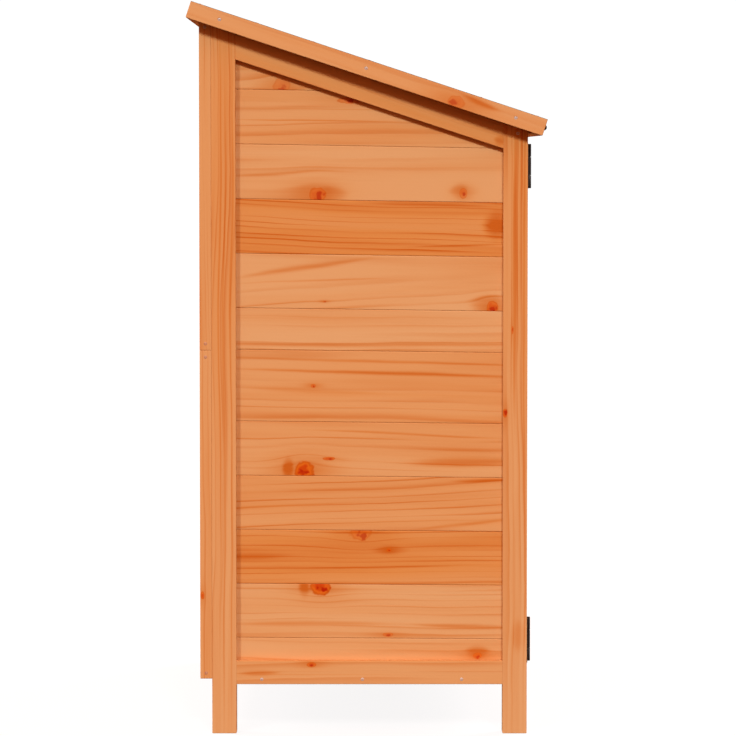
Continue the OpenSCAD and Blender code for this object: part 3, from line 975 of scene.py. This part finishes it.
def barge_board(side):
    node = f"barge_board_{side}"
    sign = SIDES[side]
    s, n = extent(node, UP_SLOPE), extent(node, OFF_SLOPE)
    inner, outer = sorted(abs(x) for x in extent(node, ALONG_X))
    c = EDGE_RADIUS
    r = ROUND_STEP * c
    bm = bmesh.new()
    loops = [
        loop_of(bm, cut_rectangle(s, n, sign * x, inset, c))
        for x, inset in ((outer, c), (outer - r, r), (outer - c, 0), (inner + c, 0), (inner, c))
    ]
    for a, b in zip(loops, loops[1:]):
        join_loops(bm, a, b)
    bm.faces.new(loops[-1])
    edges = [bm.edges.get((a, b)) for a, b in zip(loops[0], loops[0][1:] + loops[0][:1])]
    for centre_s, centre_n in barge_screw_places():
        mouth = loop_of(bm, circle(centre_s, centre_n, sign * outer, HOLE_RADIUS))
        edges += [bm.edges.new((a, b)) for a, b in zip(mouth, mouth[1:] + mouth[:1])]
        bottom = loop_of(bm, circle(centre_s, centre_n, sign * (outer - HOLE_DEPTH), HOLE_RADIUS * 0.85))
        join_loops(bm, mouth, bottom)
        bm.faces.new(bottom)
    bmesh.ops.triangle_fill(bm, use_beauty=True, edges=edges)
    for vert in bm.verts:
        along, off, x = vert.co
        vert.co = UP_SLOPE * along + OFF_SLOPE * off + ALONG_X * x
    bmesh.ops.recalc_face_normals(bm, faces=bm.faces[:])
    material = frame["nodes"][node].material_slots[0].material
    piece = add_piece(f"verge_{side}", mesh_of(f"verge_{side}", bm), material, "cabinet")
    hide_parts(node)


# Screw and nail heads

def template_of(bm):
    """A shape of radius 1 as points and faces."""
    bmesh.ops.recalc_face_normals(bm, faces=bm.faces[:])
    bm.verts.index_update()
    points = [v.co.copy() for v in bm.verts]
    faces = [[v.index for v in f.verts] for f in bm.faces]
    bm.free()
    return points, faces


def screw_template():
    """A countersunk head of radius 1 with a cross recess, facing +Z."""
    arm, half = 0.6, 0.14
    crown, recess, foot_depth, foot_radius = 0.17, -0.35, -0.45, 0.8
    cross = [
        (arm, -half), (arm, half), (half, half), (half, arm), (-half, arm), (-half, half),
        (-arm, half), (-arm, -half), (-half, -half), (-half, -arm), (half, -arm), (half, -half),
    ]
    bm = bmesh.new()
    rim = loop_of(bm, circle(0, 0, 0, 1, 24))
    mouth = loop_of(bm, [(x, y, 0) for x, y in cross])
    edges = [bm.edges.new((a, b)) for loop in (rim, mouth) for a, b in zip(loop, loop[1:] + loop[:1])]
    bmesh.ops.triangle_fill(bm, use_beauty=True, edges=edges)
    for vert in rim + mouth:
        vert.co.z = crown * (1 - vert.co.x ** 2 - vert.co.y ** 2)
    pit = loop_of(bm, [(x * 0.7, y * 0.7, recess) for x, y in cross])
    join_loops(bm, mouth, pit)
    bm.faces.new(pit)
    foot = loop_of(bm, circle(0, 0, foot_depth, foot_radius, 24))
    join_loops(bm, rim, foot)
    bm.faces.new(foot)
    return template_of(bm)


def dome_template(steps, height):
    """A round head of radius 1 and some height, facing +Z."""
    bm = bmesh.new()
    loops = [loop_of(bm, circle(0, 0, -0.3, 1))]
    for i in range(steps):
        turn = 0.5 * math.pi * i / steps
        loops.append(loop_of(bm, circle(0, 0, height * math.sin(turn), math.cos(turn))))
    for a, b in zip(loops, loops[1:]):
        join_loops(bm, a, b)
    top = bm.verts.new((0, 0, height))
    for a, b in zip(loops[-1], loops[-1][1:] + loops[-1][:1]):
        bm.faces.new((a, b, top))
    bm.faces.new(loops[0])
    return template_of(bm)


SCREW = screw_template()
CAP = dome_template(5, 0.7)
CLOUT = dome_template(3, 0.25)
turns = random.Random(SEEDS["heads"])


def heads(name, body, material, template, size, places, smooth=False):
    """One piece made of heads, each at a point and facing a direction."""
    points, faces = [], []
    for place, facing in places:
        turned = facing.to_track_quat("Z", "Y").to_matrix().to_4x4()
        move = Matrix.Translation(place) @ turned @ Matrix.Rotation(turns.uniform(0, math.pi), 4, "Z")
        start = len(points)
        points += [move @ (p * size) for p in template[0]]
        faces += [[start + i for i in face] for face in template[1]]
    mesh = bpy.data.meshes.new(name)
    mesh.from_pydata(points, [], faces)
    if smooth:
        mesh.shade_smooth()
    add_piece(name, mesh, material, body)


# Side screws in millimetres, as depth and height
SIDE_SCREWS = (
    (258.0, 1131.2), (168.8, 87.5), (7.2, 87.5), (-152.0, 87.5), (-240.4, 962.6),
)
STAINED_SCREWS = ((258.0, 627.2), (258.0, 605.6), (258.0, 97.6))


def side_screws(side):
    sign = SIDES[side]
    outward = ALONG_X * sign
    for name, material, rows in (("side", ZINC, SIDE_SCREWS), ("stained", STAINED_ZINC, STAINED_SCREWS)):
        places = [(Vector((sign * POST_FACE_X, y * MM, z * MM)), outward) for y, z in rows]
        heads(f"{name}_screws_{side}", "cabinet", material, SCREW, SCREW_RADIUS, places)
    outer = max(abs(x) for x in extent(f"barge_board_{side}", ALONG_X)) - SCREW_IN_HOLE
    places = [
        (UP_SLOPE * s + OFF_SLOPE * n + outward * outer, outward) for s, n in barge_screw_places()
    ]
    heads(f"verge_screws_{side}", "cabinet", ZINC, SCREW, SCREW_RADIUS, places)


def verge_caps():
    """A black domed head on the lower end of each barge board."""
    places = []
    for side in SIDES:
        low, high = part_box(f"barge_board_{side}")
        n = extent(f"barge_board_{side}", OFF_SLOPE)
        end = extent(f"barge_board_{side}", UP_SLOPE)[0]
        places.append((UP_SLOPE * end + OFF_SLOPE * sum(n) / 2 + ALONG_X * (low.x + high.x) / 2, -UP_SLOPE))
    heads("verge_caps", "cabinet", BLACK_PAINTED, CAP, CAP_RADIUS, places, smooth=True)


def hinge_screws(side):
    """Black screws, three in each leaf of both hinges, the middle one further from the pin."""
    for part, body, away in (("post", "cabinet", 1), ("door", f"{side}_door", -1)):
        low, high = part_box(f"hinge_{part}_leaves_{side}")
        middle = (abs(low.x) + abs(high.x) + away * 0.005) / 2
        places = []
        for centre in (low.z + HINGE_HEIGHT / 2, high.z - HINGE_HEIGHT / 2):
            for step, stagger in ((-1, -0.002), (0, 0.003), (1, -0.002)):
                x = SIDES[side] * (middle + stagger * away)
                z = centre + step * HINGE_SCREW_SPACING
                places.append((Vector((x, HINGE_FACE_Y, z)), -ALONG_Y))
        name = f"hinge_{part}_screws_{side}"
        heads(name, body, BLACK_SCREW, SCREW, HINGE_SCREW_RADIUS, places)


# Roof felt, with places given as s along the slope, n off the slope and x

FELT_S, FELT_N, FELT_X = (extent("roof_covering", axis) for axis in (UP_SLOPE, OFF_SLOPE, ALONG_X))
FELT_COLUMNS, FELT_ROWS = 44, 30
waves = random.Random(SEEDS["felt"])
FELT_WAVES = [(waves.uniform(3, 17), waves.uniform(3, 17), waves.uniform(0, 6.28)) for _ in range(6)]


def felt_top(s, x):
    """A place on the felt's upper face, which thins towards its edges and isn't quite flat."""
    (s0, s1), (n0, n1), (x0, x1) = FELT_S, FELT_N, FELT_X
    rise = min(min(s - s0, s1 - s, x - x0, x1 - x) / FELT_RAMP, 1)
    wave = sum(math.sin(a * 5 * s + b * 3 * x + c) for a, b, c in FELT_WAVES) / len(FELT_WAVES)
    n = n0 + FELT_EDGE + (n1 - n0 - FELT_EDGE) * rise * (0.86 + 0.14 * wave)
    return UP_SLOPE * s + OFF_SLOPE * n + ALONG_X * x


def felt_stations(span, count):
    """Lines of the felt's mesh across one direction, with one within each border."""
    low, high = span
    inner = [low + FELT_RAMP + (high - low - 2 * FELT_RAMP) * i / count for i in range(count + 1)]
    return [low, low + FELT_RAMP * 0.3] + inner + [high - FELT_RAMP * 0.3, high]


def felt_sheet():
    bm = bmesh.new()
    across, along = felt_stations(FELT_X, FELT_COLUMNS), felt_stations(FELT_S, FELT_ROWS)
    upper = [loop_of(bm, [felt_top(s, x) for x in across]) for s in along]
    for a, b in zip(upper, upper[1:]):
        for i in range(len(across) - 1):
            bm.faces.new((a[i], a[i + 1], b[i + 1], b[i])).smooth = True
    border = upper[0] + [row[-1] for row in upper[1:]]
    border += list(reversed(upper[-1][:-1])) + [row[0] for row in reversed(upper[1:-1])]
    under = loop_of(bm, [v.co - OFF_SLOPE * (v.co.dot(OFF_SLOPE) - FELT_N[0]) for v in border])
    join_loops(bm, border, under)
    bm.faces.new(under)
    bmesh.ops.recalc_face_normals(bm, faces=bm.faces[:])
    piece = add_piece("felt_sheet", mesh_of("felt_sheet", bm), FELT, "cabinet")
    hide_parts("roof_covering")


def nail_row(span):
    """Evenly spread places from one border nail to the opposite one."""
    low, high = span
    room = high - low - 2 * FELT_NAIL_INSET
    steps = round(room / FELT_NAIL_PITCH)
    return [low + FELT_NAIL_INSET + room * i / steps for i in range(steps + 1)]


def felt_nails():
    """Clout nails round the felt's border."""
    inset = FELT_NAIL_INSET
    spots = []
    for x in nail_row(FELT_X):
        spots += [(FELT_S[0] + inset, x), (FELT_S[1] - inset, x)]
    for s in nail_row(FELT_S)[1:-1]:
        spots += [(s, FELT_X[0] + inset), (s, FELT_X[1] - inset)]
    places = [(felt_top(s, x), OFF_SLOPE) for s, x in spots]
    heads("felt_nails", "cabinet", ZINC, CLOUT, CLOUT_RADIUS, places, smooth=True)


def floor_nails():
    """Two nails in each floor board over each bearer."""
    low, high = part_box("floor_boards")
    bearer_low, bearer_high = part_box("floor_bearers")
    half = BEARER_WIDTH / 2
    rows = [bearer_low.y + half, (bearer_low.y + bearer_high.y) / 2, bearer_high.y - half]
    places = []
    for i in range(-5, 5):
        for share in (0.25, 0.75):
            x = (i + share) * BOARD_PITCH
            if low.x + 0.008 < x < high.x - 0.008:
                places += [(Vector((x, y + turns.uniform(-0.003, 0.003), high.z)), ALONG_Z) for y in rows]
    heads("floor_nails", "cabinet", ZINC, CLOUT, NAIL_RADIUS, places, smooth=True)


for side in SIDES:
    barge_board(side)
    side_screws(side)
    hinge_screws(side)
verge_caps()
felt_sheet()
felt_nails()
floor_nails()


# Floor, light and camera

def sun(name, travel, energy, spread):
    """A distant light whose rays travel in one direction, spread by an angle in degrees."""
    lamp = linked(name, bpy.data.lights.new(name, "SUN"))
    lamp.data.energy = energy
    lamp.data.angle = math.radians(spread)
    lamp.rotation_euler = Vector(travel).to_track_quat("-Z", "Y").to_euler()


def studio_floor():
    """A pale floor that is mostly self-lit, so that it reads almost white and shows only faint shadows."""
    mesh = bpy.data.meshes.new("studio_floor")
    corners = [Vector(c) * FLOOR_HALF_SIZE for c in ((-1, -1, 0), (1, -1, 0), (1, 1, 0), (-1, 1, 0))]
    mesh.from_pydata(corners, [], [(0, 1, 2, 3)])
    floor = linked("studio_floor", mesh)
    floor.visible_diffuse = False
    floor.visible_glossy = False
    material, g, shader = new_material("studio_white")
    shader.inputs["Base Color"].default_value = (FLOOR_ALBEDO, FLOOR_ALBEDO, FLOOR_ALBEDO, 1)
    shader.inputs["Roughness"].default_value = 0.9
    shader.inputs["Emission Color"].default_value = (1, 1, 1, 1)
    shader.inputs["Emission Strength"].default_value = FLOOR_GLOW
    mesh.materials.append(material)


def studio_world():
    """Even warm light from all round, stronger from above, behind a white background."""
    world = bpy.data.worlds.new("studio")
    bpy.context.scene.world = world
    world.use_nodes = True
    g = Graph(world.node_tree)
    height = g.parts(g.add("ShaderNodeTexCoord").outputs["Generated"])[2]
    surround = g.smooth(height, -0.1, 0.55, LIGHT_FROM_BELOW, LIGHT_FROM_ABOVE)
    rays = g.add("ShaderNodeLightPath").outputs
    seen_directly = rays["Is Camera Ray"]
    neutral = g.math("MAXIMUM", seen_directly, g.product(rays["Is Glossy Ray"], NEUTRAL_GLOSS))
    background = world.node_tree.nodes["Background"]
    backdrop = g.product(seen_directly, BACKGROUND_STRENGTH)
    g.feed(background.inputs["Strength"], g.math("MAXIMUM", surround, backdrop))
    g.feed(background.inputs["Color"], g.blend(neutral, WARM_SURROUND, (1, 1, 1, 1)))


def photograph_camera():
    camera = linked("camera", bpy.data.cameras.new("camera"))
    camera.data.lens = CAMERA_LENS
    camera.data.sensor_width = 36.0
    camera.data.shift_y = CAMERA_SHIFT
    camera.location = (-POST_FACE_X - CAMERA_DISTANCE, CAMERA_Y, CAMERA_HEIGHT)
    tilt = math.radians(CAMERA_TILT)
    aim = Vector((math.cos(tilt), 0, -math.sin(tilt)))
    camera.rotation_euler = aim.to_track_quat("-Z", "Y").to_euler()
    bpy.context.scene.camera = camera


studio_floor()
studio_world()
for name, (travel, energy, spread) in LIGHTS.items():
    sun(name, travel, energy, spread)
photograph_camera()
bpy.context.scene.view_settings.view_transform = "Standard"
